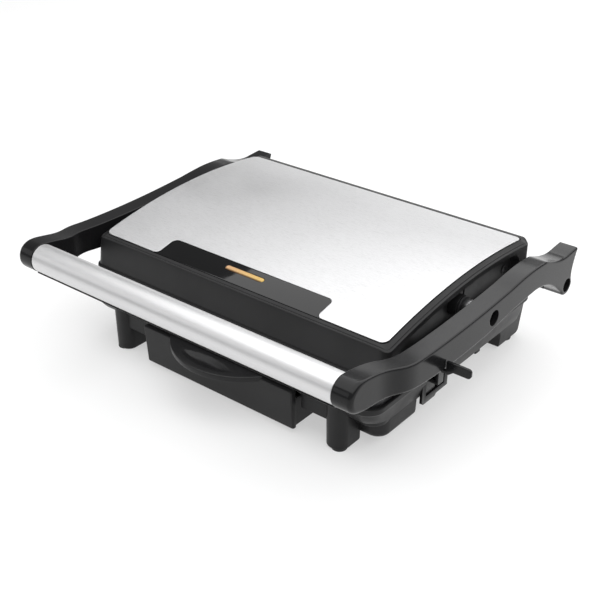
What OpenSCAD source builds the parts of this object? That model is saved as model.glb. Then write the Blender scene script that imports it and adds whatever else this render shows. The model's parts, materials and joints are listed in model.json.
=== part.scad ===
// Contact grill (panini press) with a floating lid on two side arms, a round steel
// handle, a pull-out drip tray and a side lock. Front is -Y, right is +X, Z is up.

/* [Lid] */
// Width of the steel cover sheet
sheet_w = 300; // [290:1:302]
// Front edge of the steel cover sheet, from the middle of the grill
sheet_front = 84; // [80:1:86]
// Rear edge of the steel cover sheet, from the middle of the grill
sheet_back = 118; // [112:1:119]
// Radius of the crown that the cover is bent to
crown_r = 560; // [520:10:640]
// Height of the top of the crown
crown_top = 113.2; // [112:0.2:115]
// Half width of the lid casing
lid_half_w = 155; // [153:0.5:156]

/* [Arms and handle] */
// Outer face of each arm, from the middle of the grill
arm_outer_x = 183.5; // [182:0.5:186]
// Thickness of each arm
arm_t = 17.5; // [16:0.5:18]
// How far the arms step inward towards the handle
arm_jog = 8; // [6:0.5:9]
// Radius of the handle tube
handle_r = 12.2; // [11.5:0.1:12.3]

/* [Base] */
// Half width of the base rim
rim_half_w = 157; // [156:0.5:158]
// Height of the base rim
rim_top = 50; // [50:0.5:50.5]
// Half width of the drip tray
tray_half_w = 82; // [76:1:82]
// Depth of the drip tray behind its front
tray_depth = 118; // [90:1:120]

/* [Hidden] */

far = 400;
seam = 0.05;
side_pair = [-1, 1];

// Rear hinge and lid pivot, as [y, z]
hinge_at = [146.7, 61.9];
pivot_at = [17.1, 87.3];
handle_at = [-148.3, 96.3];

arm_inner_x = arm_outer_x - arm_t;
nose_r = 12.6;
barrel_r = 9.5;
pin_r = 5;
guide_screw_at = [[-28.8, 38.8], [3.6, 28.9]];
cover_screw_y = [28, 129];
running_gap = 0.05;
recess_depth = 7.5;

cover_t = 0.8;
crown_y = 42;
lid_bottom = 66;
lid_front = 92.5;
lid_rear = 123;
lid_flange = 3;
lid_wall = 2.6;
recess_x = 146;

panel_half_w = 86;
panel_depth = 22.5;
lens_l = 42;
lens_w = 5.5;
lens_y = -70;
panel_t = 2.2;

rim_front = 107;
rim_rear = 138;
rim_bottom = 41;
wall_half_w = 150;
base_wall = 3;
floor_z = 33;
strip_z = 23;
pod_z = 9;
foot_h = 2;
tray_bottom = 4;
tray_top = 31;
tray_lip_z = 40;
bay_gap = 1;

plate_half_w = 154;
plate_front = 104;
plate_rear = 128;
plate_t = 4.5;
upper_slab = 70.5;
rib_pitch = 10;
rib_w = 4;
lower_rib_top = 60;
upper_rib_low = 65;
element_r = 3.6;
plate_screw_y = [-52, 84];
lid_screw_at = [[-58, 88], [96, 86]];
keeper_at = [-16, 80];
guide_x = 152.4;
tab_y = -52;
tab_z = 71;
gland_r = 4.2;
fuse_at = [66, 46.9];
rod_r = 3;

plastic = [0.10, 0.10, 0.11];
steel = [0.80, 0.80, 0.81];

function crown(y) = crown_top - crown_r + sqrt(crown_r * crown_r - pow(y - crown_y, 2));

// Points of a cubic curve, without its last point
function curve(a, b, c, d, n = 8) = [
  for (i = [0 : n - 1])
    let (t = i / n, s = 1 - t)
      s * s * s * a + 3 * s * s * t * b + 3 * s * t * t * c + t * t * t * d
];

// Points of an arc, both ends included
function arc(at, r, from, to, n = 8) = [
  for (i = [0 : n]) at + r * [cos(from + (to - from) * i / n), sin(from + (to - from) * i / n)]
];

// Turns a flat [y, z] outline into a solid that spans x from x0 to x1
module across(x0, x1) {
  translate([x0, 0, 0]) rotate([90, 0, 90]) linear_extrude(x1 - x0) children();
}

// Cylinder along x
module rod_x(r, x0, x1, at, fn = 64) {
  translate([x0, at[0], at[1]]) rotate([0, 90, 0]) cylinder(r = r, h = x1 - x0, $fn = fn);
}

// Upright block between two x, two y and two z values
module block(x, y, z) {
  translate([x[0], y[0], z[0]]) cube([x[1] - x[0], y[1] - y[0], z[1] - z[0]]);
}

// Flat rectangle with round corners
module round_rect(x, y, r) {
  w = x[1] - x[0];
  d = y[1] - y[0];
  translate([x[0], y[0]]) {
    translate([r, 0]) square([w - 2 * r, d]);
    translate([0, r]) square([w, d - 2 * r]);
    for (cx = [r, w - r], cy = [r, d - r]) translate([cx, cy]) circle(r = r, $fn = 48);
  }
}

module round_block(x, y, z, r) {
  translate([0, 0, z[0]]) linear_extrude(z[1] - z[0]) round_rect(x, y, r);
}

// The same thing on the left and on the right
module both_sides() {
  children();
  mirror([1, 0, 0]) children();
}

// Straight round wire from one point to another
module wire(a, b, r) {
  run = b - a;
  flat = norm([run[0], run[1]]);
  translate(a) rotate([0, atan2(flat, run[2]), atan2(run[1], run[0])]) cylinder(r = r, h = norm(run), $fn = 24);
}

module screw(head_r, head_h, shank_r, length) {
  cylinder(r = head_r, h = head_h, $fn = 32);
  translate([0, 0, head_h]) cylinder(r = shank_r, h = length, $fn = 24);
}

/* ---------- base ---------- */

module hinge_lug() {
  lug_y = rim_rear - 9;
  rod_x(barrel_r, 138, arm_inner_x - 0.6, hinge_at);
  across(138, wall_half_w) polygon([
    [lug_y, rim_bottom], [rim_rear, rim_bottom],
    hinge_at + barrel_r * [cos(-20), sin(-20)],
    hinge_at + barrel_r * [cos(160), sin(160)],
    [lug_y, rim_top]
  ]);
}

module front_leg() {
  leg_x = [113, 128.6];
  leg_y = [-106, -80];
  r = (leg_x[1] - leg_x[0]) / 2;
  translate([leg_x[0], leg_y[0], foot_h]) linear_extrude(rim_bottom + 1 - foot_h) {
    translate([r, r]) circle(r = r, $fn = 48);
    translate([0, r]) square([2 * r, leg_y[1] - leg_y[0] - r]);
  }
}

module rear_leg() {
  across(128, 146) polygon(concat(
    [[142, foot_h], [142, rim_bottom + 1], [96, rim_bottom + 1]],
    curve([96, strip_z], [103, strip_z], [106, 16], [106, foot_h]),
    [[106, foot_h]]
  ));
}

module base_outside() {
  round_block([-rim_half_w, rim_half_w], [-rim_front, rim_rear], [rim_bottom, rim_top], 18);
  round_block([-wall_half_w, wall_half_w], [-90, rim_rear], [strip_z, rim_bottom + 1], 14);
  both_sides() {
    round_block([98, wall_half_w], [-84, -36], [pod_z, strip_z + 2], 12);
    block([tray_half_w + bay_gap, 114], [-rim_front + 5, -80], [strip_z, rim_bottom + 1]);
    front_leg();
    rear_leg();
    hinge_lug();
  }
}

module base_inside() {
  inner_x = rim_half_w - 5;
  wall_x = wall_half_w - base_wall;
  round_block([-inner_x, inner_x], [-rim_front + 5, rim_rear - 12], [rim_bottom + base_wall, far], 13);
  round_block([-wall_x, wall_x], [-90 + base_wall, rim_rear - 12], [floor_z + base_wall, far], 11);
  // Hollow pods beside the tray
  both_sides() {
    block([92, wall_x - 1], [-30, 90], [strip_z + base_wall, far]);
    block([102, wall_x - 2], [-74, -42], [pod_z + base_wall, far]);
  }
}

module lower_housing() color(plastic) {
  difference() {
    base_outside();
    base_inside();
    // Drip tray bay and its mouth
    block([-tray_half_w - 2.5, tray_half_w + 2.5], [-95, 18], [-1, floor_z]);
    block([-tray_half_w - bay_gap, tray_half_w + bay_gap], [-far, -94], [-1, tray_lip_z + bay_gap]);
    // Grease slot from the plate's gutter to the tray
    block([-26, 26], [-92, -76], [floor_z - 1, far]);
    // Wiring bay behind the tray, closed by the bottom cover
    block([-78, 78], [26, rim_rear - 6], [strip_z + 1, floor_z]);
    block([-84, 84], [22, rim_rear - 3], [-1, strip_z + 1.5]);
    block([-30, 30], [60, 90], [floor_z - 1, far]);
    both_sides() {
      rod_x(pin_r, 150, far, hinge_at);
      for (y = cover_screw_y) translate([81, y, strip_z]) cylinder(r = 1.5, h = 9, $fn = 32);
    }
    translate([60, rim_rear - 20, 29]) rotate([-90, 0, 0]) cylinder(r = gland_r, h = 30, $fn = 48);
    for (at = guide_screw_at) rod_x(1.5, wall_half_w - 6, wall_half_w + 1, at, 32);
    // Opening that the lock slides in
    across(wall_half_w - 5, wall_half_w + 1) polygon([
      [-27, 23.5], [0, 23.5], [0, 27], [-2, 31], [-2, 40.4], [-27, 40.4]
    ]);
  }
  // Rails that the tray's side lips run on
  both_sides() block([tray_half_w - 1, tray_half_w + 3], [-94, 14], [22, 24.4]);
}

module bottom_cover() color([0.35, 0.35, 0.36]) difference() {
  block([-83.5, 83.5], [22.5, rim_rear - 3.5], [strip_z, strip_z + 1.5]);
  for (x = [-50 : 20 : 50], y = [55, 80, 105]) {
    translate([x - 7, y - 1.5, 0]) cube([14, 3, far]);
  }
  both_sides() for (y = cover_screw_y) translate([81, y, 0]) cylinder(r = 1.5, h = 40, $fn = 32);
}

module foot_pads() color([0.05, 0.05, 0.05]) both_sides() {
  translate([120.8, -98.2, 0]) cylinder(r = 6.5, h = foot_h, $fn = 48);
  translate([137, 128, 0]) cylinder(r = 7, h = foot_h, $fn = 48);
}

module base_screws() color(steel) both_sides() for (y = cover_screw_y) {
  translate([81, y, strip_z - 1.6]) screw(3, 1.6, 1.5, 8.5);
}

module lower_reflector() color([0.7, 0.7, 0.7]) {
  x = 133;
  z = floor_z + base_wall;
  difference() {
    round_block([-x, x], [-70, 108], [z, z + 9], 10);
    round_block([-x + 0.8, x - 0.8], [-69.2, 107.2], [z + 0.8, far], 9.2);
    block([-28, 28], [66, 84], [0, far]);
  }
}

module heater(z) {
  leg_x = 112;
  front_y = -52;
  rear_y = 84;
  bend_r = 22;
  at_z = [0, 0, z];
  translate(at_z) {
    for (x = [-leg_x, leg_x]) {
      translate([x, front_y + bend_r, 0]) rotate([-90, 0, 0])
        cylinder(r = element_r, h = rear_y - front_y - 2 * bend_r, $fn = 32);
    }
    for (s = side_pair) {
      translate([s * (leg_x - bend_r), front_y + bend_r, 0]) rotate([0, 0, s < 0 ? 180 : 270])
        rotate_extrude(angle = 90, $fn = 64) translate([bend_r, 0]) circle(r = element_r, $fn = 32);
      translate([s * (leg_x - bend_r), rear_y - bend_r, 0]) rotate([0, 0, s < 0 ? 90 : 0])
        rotate_extrude(angle = 90, $fn = 64) translate([bend_r, 0]) circle(r = element_r, $fn = 32);
    }
    translate([-leg_x + bend_r, front_y, 0]) rotate([0, 90, 0])
      cylinder(r = element_r, h = 2 * (leg_x - bend_r), $fn = 32);
    for (s = side_pair) {
      translate([s < 0 ? -leg_x + bend_r : 14, rear_y, 0]) rotate([0, 90, 0])
        cylinder(r = element_r, h = leg_x - bend_r - 14, $fn = 32);
      translate([s * 14, rear_y, 0]) rotate([90, 0, 0]) cylinder(r = 2, h = 12, $fn = 24);
    }
  }
}

module lower_heating_element() color([0.55, 0.5, 0.45]) heater(rim_top - element_r);

module ribs(z0, z1, y0, y1) {
  for (x = [-130 : rib_pitch : 130]) block([x - rib_w / 2, x + rib_w / 2], [y0, y1], [z0, z1]);
}

module lower_grill_plate() color([0.13, 0.13, 0.13]) difference() {
  union() {
    round_block([-plate_half_w, plate_half_w], [-plate_front, plate_rear], [rim_top, rim_top + plate_t], 16);
    ribs(rim_top + plate_t, lower_rib_top, -72, 106);
    // Wall round the plate
    difference() {
      round_block([-plate_half_w, plate_half_w], [-plate_front, plate_rear], [rim_top + 4, 57.5], 16);
      round_block([-plate_half_w + 5, plate_half_w - 5], [-plate_front + 4, plate_rear - 6], [rim_top, far], 11);
    }
  }
  // Gutter along the front, with its drain
  round_block([-132, 132], [-94, -80], [rim_top + 2, far], 5);
  linear_extrude(far) round_rect([-14, 14], [-90, -84], 2.9);
  both_sides() for (y = plate_screw_y) translate([124, y, 0]) cylinder(r = 2, h = rim_top + 2, $fn = 32);
}

module lower_plate_screws() color(steel) both_sides() for (y = plate_screw_y) {
  translate([124, y, floor_z + base_wall + 0.8]) screw(3.6, 2, 2, rim_top - floor_z - base_wall - 0.8);
}

module terminal_block() color([0.85, 0.85, 0.8]) difference() {
  block([30, 64], [66, 82], [strip_z + 1.5, 32]);
  for (x = [37, 47, 57], y = [70, 78]) translate([x, y, 27]) cylinder(r = 2, h = 8, $fn = 24);
}

module cord_gland() color(plastic) translate([60, 0, 29]) rotate([-90, 0, 0]) difference() {
  union() {
    translate([0, 0, rim_rear - 15]) cylinder(r = gland_r, h = 21, $fn = 48);
    translate([0, 0, rim_rear]) cylinder(r = gland_r + 2, h = 3, $fn = 48);
  }
  cylinder(r = 3.3, h = far, $fn = 48);
}

module base_wiring() color([0.7, 0.15, 0.12]) {
  wire([60, 82, 29], [60, 122, 29], 1.8);
  wire([28.7, 76, 29.5], [15.35, 76, 44.85], 1.5);
}

module thermal_fuse() color([0.8, 0.78, 0.7]) {
  rod_x(3, -14, 14, fuse_at, 32);
  both_sides() rod_x(0.8, 13.5, 20, fuse_at, 24);
}

module hinge_pins() color(steel) both_sides() {
  rod_x(pin_r, 151, arm_outer_x - recess_depth, hinge_at);
  rod_x(5.7, arm_outer_x - recess_depth + 0.3, arm_outer_x - 3.5, hinge_at, 48);
  rod_x(3, arm_outer_x - recess_depth - 1, arm_outer_x - recess_depth + 1, hinge_at, 32);
}

module lock_guide() color(plastic) {
  difference() {
    across(wall_half_w, guide_x) polygon([
      [-31.5, rim_bottom], [-31.5, 18], [-29.5, 16.4], [-12.6, 16.4], [-10.5, 18.3], [6, 18.3],
      [6, 31.5], [1, 31.5], [1, 22.7], [-26.2, 22.7], [-26.2, rim_bottom]
    ]);
    for (at = guide_screw_at) rod_x(1.5, wall_half_w - 1, guide_x - 0.8, at, 32);
  }
  // Ledge under the slide
  block([wall_half_w - 4.5, wall_half_w + seam], [-19, 5.5], [21, 22.7]);
}

module guide_screws() color(steel) {
  head_x = [wall_half_w - base_wall, wall_half_w - base_wall - 1];
  for (i = [0, 1]) {
    rod_x(2.6, head_x[i] - 1.6, head_x[i], guide_screw_at[i], 32);
    rod_x(1.5, head_x[i] - 0.1, guide_x - 0.9, guide_screw_at[i], 32);
  }
}

/* ---------- drip tray ---------- */

module drip_tray() color(plastic) {
  front_y = -107.5;
  shelf_r = 64;
  shelf_reach = 25;
  shelf_y = front_y - 1 - shelf_reach + shelf_r;
  tray_back = front_y + tray_depth;
  // Front, leaning out a little towards its top
  across(-tray_half_w, tray_half_w) polygon([
    [front_y, tray_bottom], [front_y - 2.5, tray_lip_z], [front_y + 1, tray_lip_z],
    [front_y + 3, tray_top], [front_y + 3, tray_bottom]
  ]);
  // Pan
  difference() {
    block([-tray_half_w + 2, tray_half_w - 2], [front_y + 2, tray_back], [tray_bottom, tray_top]);
    block([-tray_half_w + 4, tray_half_w - 4], [front_y + 3, tray_back - 2], [tray_bottom + 2, far]);
  }
  both_sides() block([tray_half_w - 2.5, tray_half_w + 0.6], [-92, tray_back], [25, 27]);
  // Half-moon pull with a dished top
  difference() {
    intersection() {
      translate([0, shelf_y, tray_lip_z - 3]) cylinder(r = shelf_r, h = 5, $fn = 96);
      block([-60, 60], [-far, front_y], [0, far]);
    }
    intersection() {
      translate([0, shelf_y, tray_lip_z - 1]) cylinder(r = shelf_r - 4, h = 9, $fn = 96);
      block([-56, 56], [-far, front_y - 2.6], [0, far]);
    }
  }
}

/* ---------- side lock ---------- */

module lock_slide() color(plastic) {
  plate_x = [158.6, 161.4];
  hook_z = keeper_at[1] + 3.8;
  // Shoe in the side wall, with a flange behind it
  block([wall_half_w - 5, guide_x - 0.8], [-25.8, -11.8], [24, 40]);
  block([wall_half_w - 6.6, wall_half_w - 4.2], [-29.5, -9], [26.6, 35.4]);
  block([guide_x - 0.9, plate_x[0] + seam], [-24, -16], [36, 40]);
  // Plate that rises to the hook and reaches forward to the finger tab
  across(plate_x[0], plate_x[1]) polygon([
    [-24, 36], [-16, 36], [-16, 58], [-29, 72], [-29, hook_z], [-20, hook_z], [-20, hook_z + 4.2],
    [-32, hook_z + 4.2], [-35, hook_z + 1.4], [-35, 79], [tab_y - 1.2, 79], [tab_y - 1.2, tab_z],
    [-36, tab_z], [-24, 58]
  ]);
  // Bar that passes under the arm and turns up outside it as the finger tab
  translate([0, tab_y + 1.2, 0]) rotate([90, 0, 0]) linear_extrude(2.4) polygon(concat(
    [[plate_x[1] - seam, tab_z], [plate_x[1] - seam, tab_z + 3.1]],
    [[arm_outer_x + 0.7, tab_z + 3.1], [arm_outer_x + 0.7, tab_z + 11.3]],
    arc([202.7, tab_z + 8.5], 2.8, 90, 0), arc([202.7, tab_z + 6.1], 2.8, 0, -90),
    [[arm_outer_x + 7, tab_z + 3.3], [arm_outer_x + 3, tab_z]]
  ));
}

/* ---------- arms ---------- */

module arm_side() {
  polygon(concat(
    arc(handle_at, nose_r, 270, 90, 16),
    curve([-148.3, 108.9], [-130, 107.6], [-112, 100.2], [-75, 99]),
    curve([-75, 99], [-30, 97.6], [10, 99.2], [45, 101.6]),
    curve([45, 101.6], [65, 103.8], [80, 104.6], [95, 103]),
    curve([95, 103], [110, 101.4], [118, 92], [136, 92.2]),
    curve([136, 92.2], [145, 92.3], [152, 93.6], [160, 94.6], 4),
    curve([160.6, 91.5], [157, 84], [151, 72], hinge_at + [barrel_r, 0]),
    arc(hinge_at, barrel_r, 0, -150, 12),
    curve([137, 59], [130, 64], [116, 80.5], [86, 82]),
    curve([86, 82], [60, 81.2], [40, 79.6], [15, 76]),
    curve([15, 76], [-10, 73.6], [-60, 73.6], [-90, 77.8]),
    curve([-90, 77.8], [-115, 81], [-135, 81.5], [-148.3, 83.7])
  ));
}

// Plan of the right arm, with its step inwards near the handle
module arm_plan() {
  step_y = [-129, -89];
  mid_y = (step_y[0] + step_y[1]) / 2;
  function edge(x) = concat(
    curve([x - arm_jog, step_y[0]], [x - arm_jog, mid_y], [x, mid_y], [x, step_y[1]], 10),
    [[x, step_y[1]]]
  );
  outer = edge(arm_outer_x);
  inner = edge(arm_inner_x);
  polygon(concat(
    [[arm_outer_x - arm_jog, -far]], outer, [[arm_outer_x, far], [arm_inner_x, far]],
    [for (i = [len(inner) - 1 : -1 : 0]) inner[i]], [[arm_inner_x - arm_jog, -far]]
  ));
}

arm_wall = 2.6;
front_channel_y = [-84, 3];
rear_channel_y = [31, 86];

// Hollow of the two channels that open under the arm
module arm_channels() {
  across(arm_inner_x + arm_wall, arm_outer_x - arm_wall) {
    polygon(concat(
      [[front_channel_y[0], 60]],
      curve([front_channel_y[0], 96.4], [-50, 96], [-20, 95.6], [front_channel_y[1], 96]),
      [[front_channel_y[1], 96], [front_channel_y[1], 60]]
    ));
    polygon(concat(
      [[rear_channel_y[0], 60]],
      curve([rear_channel_y[0], 97], [50, 99], [68, 100.6], [rear_channel_y[1], 100.4]),
      [[rear_channel_y[1], 100.4], [rear_channel_y[1], 60]]
    ));
  }
}

module arm() {
  difference() {
    intersection() {
      across(0, far) arm_side();
      linear_extrude(far) arm_plan();
    }
    arm_channels();
    // Lid pivot: spigot bore from inside, screw recess from outside
    rod_x(6, arm_inner_x - 1, arm_inner_x + 6, pivot_at);
    rod_x(2, arm_inner_x, far, pivot_at, 32);
    rod_x(6.6, arm_outer_x - recess_depth, far, pivot_at);
    // Hinge: running bore, and a recess for the pin's head
    rod_x(pin_r + running_gap, arm_inner_x - 1, far, hinge_at);
    rod_x(6.2, arm_outer_x - recess_depth, far, hinge_at);
    rod_x(rod_r, 0, arm_outer_x - arm_jog - 7, handle_at, 32);
  }
}

module arm_covers() color(plastic) both_sides() intersection() {
  gap = 0.1;
  across(arm_inner_x + arm_wall + gap, arm_outer_x - arm_wall - gap) {
    for (y = [front_channel_y, rear_channel_y]) intersection() {
      arm_side();
      translate([y[0] + gap, 60]) square([y[1] - y[0] - 2 * gap, 60]);
    }
  }
  across(0, far) difference() {
    arm_side();
    translate([0, 2]) arm_side();
  }
  block([0, far], [-far, far], [70, 88]);
}

module right_arm() color(plastic) difference() {
  arm();
  rod_x(2.5, arm_inner_x - 1, arm_inner_x + 7, keeper_at, 32);
}

module left_arm() color(plastic) mirror([1, 0, 0]) arm();

module handle_tube() color(steel) {
  x = arm_inner_x - arm_jog;
  difference() {
    rod_x(handle_r, -x, x, handle_at, 96);
    rod_x(handle_r - 1.2, -far, far, handle_at, 96);
  }
}

module handle_strip() color(plastic) {
  x = arm_inner_x - arm_jog;
  across(-x, x) polygon(concat(
    arc(handle_at, handle_r + 0.02, 235, 305, 10),
    arc(handle_at, handle_r + 1.4, 305, 235, 10)
  ));
}

module handle_rod() color(steel) {
  x = arm_outer_x - arm_jog - 7;
  rod_x(rod_r, -x, x, handle_at, 32);
}

module handle_plugs() color(plastic) both_sides() difference() {
  x = arm_inner_x - arm_jog;
  rod_x(handle_r - 1.2, x - 9, x, handle_at);
  rod_x(rod_r, 0, far, handle_at, 32);
}

module float_pins() color(steel) both_sides() difference() {
  union() {
    rod_x(pin_r, 147.5, arm_inner_x - 8, pivot_at);
    rod_x(8, arm_inner_x - 8.5, arm_inner_x, pivot_at);
    rod_x(6, arm_inner_x - 1, arm_inner_x + 6, pivot_at);
  }
  rod_x(2, arm_inner_x - 6, far, pivot_at, 32);
}

module arm_screws() color([0.3, 0.3, 0.3]) both_sides() {
  x = arm_outer_x - recess_depth;
  rod_x(2, arm_inner_x - 5, x + 0.5, pivot_at, 32);
  rod_x(4.6, x, x + 3, pivot_at, 48);
}

module lock_keeper() color(steel) {
  rod_x(3, arm_inner_x - 6.4, arm_inner_x, keeper_at, 32);
  rod_x(2.5, arm_inner_x - 1, arm_inner_x + 7, keeper_at, 32);
}

module arm_wiring() color([0.7, 0.15, 0.12]) {
  x = -(arm_inner_x + arm_t / 2);
  wire([x, 84, 91.5], [x, 33, 90], 2);
}

/* ---------- lid ---------- */

// Side view of the lid, from a lower height up to the crown less a drop
module lid_side(low, drop, inset) {
  y0 = -lid_front + inset;
  y1 = lid_rear - inset;
  n = 24;
  polygon(concat(
    [[y0, low]], [[y0 + 3.5, crown(y0 + 3.5) - drop - 1]],
    [for (i = [0 : n]) let (y = y0 + 6 + (y1 - y0 - 9) * i / n) [y, crown(y) - drop]],
    [[y1, crown(y1) - drop - 1.5], [y1, low]]
  ));
}

module lid_recess() {
  across(recess_x, far) polygon(concat(
    [[-74, 73]],
    curve([-74, 84], [-74, 92], [-62, 95], [-40, 98], 6),
    curve([-40, 98], [0, 103.6], [60, 104], [92, 100], 8),
    curve([92, 100], [106, 98], [110, 90], [110, 80], 6),
    [[110, 73]]
  ));
}

module upper_housing() color(plastic) {
  flange_x = lid_half_w + lid_flange;
  difference() {
    union() {
      intersection() {
        across(-lid_half_w, lid_half_w) lid_side(lid_bottom, cover_t + 0.02, 0);
        round_block([-lid_half_w, lid_half_w], [-lid_front, lid_rear], [0, far], 14);
      }
      round_block([-flange_x, flange_x], [-lid_front - 2.5, lid_rear + 2.5], [lid_bottom, 70], 15);
    }
    // Inside
    intersection() {
      across(-recess_x + lid_wall, recess_x - lid_wall) lid_side(lid_bottom - 2, cover_t + lid_wall, lid_wall);
      round_block([-recess_x, recess_x], [-lid_front + 4, lid_rear - lid_wall], [0, far], 10);
    }
    both_sides() difference() {
      lid_recess();
      rod_x(9.6, 0, lid_half_w - 0.5, pivot_at);
    }
    // Bushes in the pivot bosses
    both_sides() {
      rod_x(7.5, 144.5, far, pivot_at);
      for (at = lid_screw_at) rod_x(1.5, 130, 147, at, 32);
    }
    // Seat of the control panel, and the lamp's hole under it
    panel_blank(2);
    translate([0, 0, 90]) linear_extrude(far) lens_plan();
  }
  // Posts that the upper plate is screwed to
  both_sides() for (y = plate_screw_y) difference() {
    translate([124, y, 84]) cylinder(r = 4.5, h = crown(y) - cover_t - 85, $fn = 32);
    translate([124, y, 83]) cylinder(r = 2, h = 12, $fn = 32);
  }
}

// Slice of the crown between two depths, as a flat outline
function crown_band(top, depth, y0 = -90, y1 = 124, n = 24) = concat(
  [for (i = [0 : n]) let (y = y0 + (y1 - y0) * i / n) [y, crown(y) - top]],
  [for (i = [n : -1 : 0]) let (y = y0 + (y1 - y0) * i / n) [y, crown(y) - depth]]
);

module panel_plan() {
  round_rect([-panel_half_w, panel_half_w], [-sheet_front - 12, -sheet_front + panel_depth], 5);
}

module panel_blank(above) intersection() {
  across(-far, far) polygon(crown_band(-above, panel_t));
  linear_extrude(far) panel_plan();
  block([-far, far], [-sheet_front, far], [0, far]);
}

module lens_plan() {
  translate([0, lens_y]) round_rect([-lens_l / 2, lens_l / 2], [-lens_w / 2, lens_w / 2], lens_w / 2 - 0.1);
}

module top_cover() color(steel) difference() {
  intersection() {
    across(-sheet_w / 2, sheet_w / 2) polygon(crown_band(0, cover_t));
    round_block([-sheet_w / 2, sheet_w / 2], [-sheet_front, sheet_back], [0, far], 6);
  }
  linear_extrude(far) panel_plan();
}

module control_panel() color([0.02, 0.02, 0.02]) difference() {
  panel_blank(0);
  linear_extrude(far) lens_plan();
}

module indicator_lens() color([1, 0.6, 0.1]) intersection() {
  across(-far, far) polygon(crown_band(0, 6));
  linear_extrude(far) lens_plan();
}

module indicator_lamp() color([0.9, 0.9, 0.85]) {
  block([-18, 18], [lens_y - 5, lens_y + 5], [90.6, 92.2]);
  both_sides() {
    translate([9, lens_y, 92]) cylinder(r = 1.8, h = 3, $fn = 32);
    translate([16, lens_y + 4, 92]) cylinder(r = 1.2, h = 7.2, $fn = 32);
  }
}

module upper_grill_plate() color([0.13, 0.13, 0.13]) difference() {
  union() {
    round_block([-140, 140], [-86, 112], [upper_slab, upper_slab + plate_t], 10);
    ribs(upper_rib_low, upper_slab, -76, 102);
  }
  both_sides() for (y = plate_screw_y) translate([124, y, upper_slab + 2]) cylinder(r = 2, h = 9, $fn = 32);
}

module upper_heating_element() color([0.55, 0.5, 0.45]) heater(upper_slab + plate_t + element_r);

module upper_reflector() color([0.7, 0.7, 0.7]) {
  z = [upper_slab + plate_t, 84.5];
  difference() {
    round_block([-134, 134], [-70, 104], z, 8);
    round_block([-133.2, 133.2], [-69.2, 103.2], [0, z[1] - 0.8], 7.2);
    both_sides() for (y = plate_screw_y) translate([124, y, 0]) cylinder(r = 4.6, h = 100, $fn = 32);
    block([-24, 24], [40, 66], [z[1] - 2, far]);
  }
}

module upper_plate_screws() color(steel) both_sides() for (y = plate_screw_y) {
  translate([124, y, upper_slab + 2]) cylinder(r = 2, h = 22, $fn = 32);
}

module thermostat() color([0.85, 0.82, 0.75]) {
  translate([0, 53, upper_slab + plate_t]) cylinder(r = 8.5, h = 12, $fn = 48);
  both_sides() block([8, 15], [51, 55], [80, 80.8]);
}

module lid_wiring() color([0.7, 0.15, 0.12]) {
  wire([-9, 53, 86.3], [-140, 18, 88.5], 1.5);
  wire([-9, lens_y + 5, 93], [-3, 44.6, 86.5], 1);
}

module float_bushes() color([0.05, 0.05, 0.05]) both_sides() difference() {
  union() {
    rod_x(7.5, 144.5, lid_half_w, pivot_at);
    rod_x(9, lid_half_w - 0.5, lid_half_w + 1.2, pivot_at);
  }
  rod_x(pin_r + running_gap, 146.5, far, pivot_at);
}

module lid_screws() color([0.3, 0.3, 0.3]) both_sides() for (at = lid_screw_at) {
  rod_x(2.6, recess_x, recess_x + 1.6, at, 32);
  rod_x(1.5, 136, recess_x + 0.1, at, 32);
}

lower_housing();
bottom_cover();
foot_pads();
base_screws();
lower_reflector();
lower_heating_element();
lower_grill_plate();
lower_plate_screws();
terminal_block();
cord_gland();
base_wiring();
thermal_fuse();
hinge_pins();
lock_guide();
guide_screws();
drip_tray();
lock_slide();
right_arm();
left_arm();
arm_covers();
handle_tube();
handle_strip();
handle_rod();
handle_plugs();
float_pins();
arm_screws();
lock_keeper();
arm_wiring();
upper_housing();
top_cover();
control_panel();
indicator_lens();
indicator_lamp();
upper_grill_plate();
upper_heating_element();
upper_reflector();
upper_plate_screws();
thermostat();
lid_wiring();
float_bushes();
lid_screws();
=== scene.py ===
import json
import math

import bmesh
import bpy
from mathutils import Matrix, Vector
from mathutils.geometry import delaunay_2d_cdt


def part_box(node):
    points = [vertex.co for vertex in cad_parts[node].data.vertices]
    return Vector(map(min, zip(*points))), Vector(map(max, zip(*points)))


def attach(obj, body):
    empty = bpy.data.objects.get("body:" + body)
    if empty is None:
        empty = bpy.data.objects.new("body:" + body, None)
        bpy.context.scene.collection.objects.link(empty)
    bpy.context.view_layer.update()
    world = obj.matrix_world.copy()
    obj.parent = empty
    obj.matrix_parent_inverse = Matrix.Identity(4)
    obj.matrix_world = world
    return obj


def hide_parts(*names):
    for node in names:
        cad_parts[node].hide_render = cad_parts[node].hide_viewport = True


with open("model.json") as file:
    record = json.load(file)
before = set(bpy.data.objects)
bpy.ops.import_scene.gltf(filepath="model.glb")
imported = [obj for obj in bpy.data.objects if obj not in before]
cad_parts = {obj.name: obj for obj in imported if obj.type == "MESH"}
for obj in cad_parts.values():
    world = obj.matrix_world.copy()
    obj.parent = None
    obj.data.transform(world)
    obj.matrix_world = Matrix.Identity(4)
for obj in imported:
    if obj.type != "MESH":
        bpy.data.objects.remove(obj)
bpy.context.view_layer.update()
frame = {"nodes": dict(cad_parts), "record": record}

# Contact grill (panini press). The grill's lengths are in millimetres, in the row frame, and go to
# metres when a mesh is made. Floor, lights and camera are in metres. Front is -Y, right is +X.
MM = 0.001
WELD = 0.000002  # metres; vertices closer than this are one
SHARP = 32  # degrees; edges that turn more are shaded sharp


def mm_box(node):
    low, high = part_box(node)
    return [v / MM for v in low], [v / MM for v in high]


SHEET_LOW, SHEET_HIGH = mm_box("top_cover")
# The steel sheet's bend: radius, highest point and the depth that this is at
CROWN_R, CROWN_TOP, CROWN_Y = 560.0, SHEET_HIGH[2], 42.0
# Axes along X, each as (y, z): lid between the arms, arms on the base, handle tube
PIVOT, HINGE, HANDLE = (17.1, 87.3), (146.7, 61.9), (-148.3, 96.3)
LENS_Y = -70.0


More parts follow.
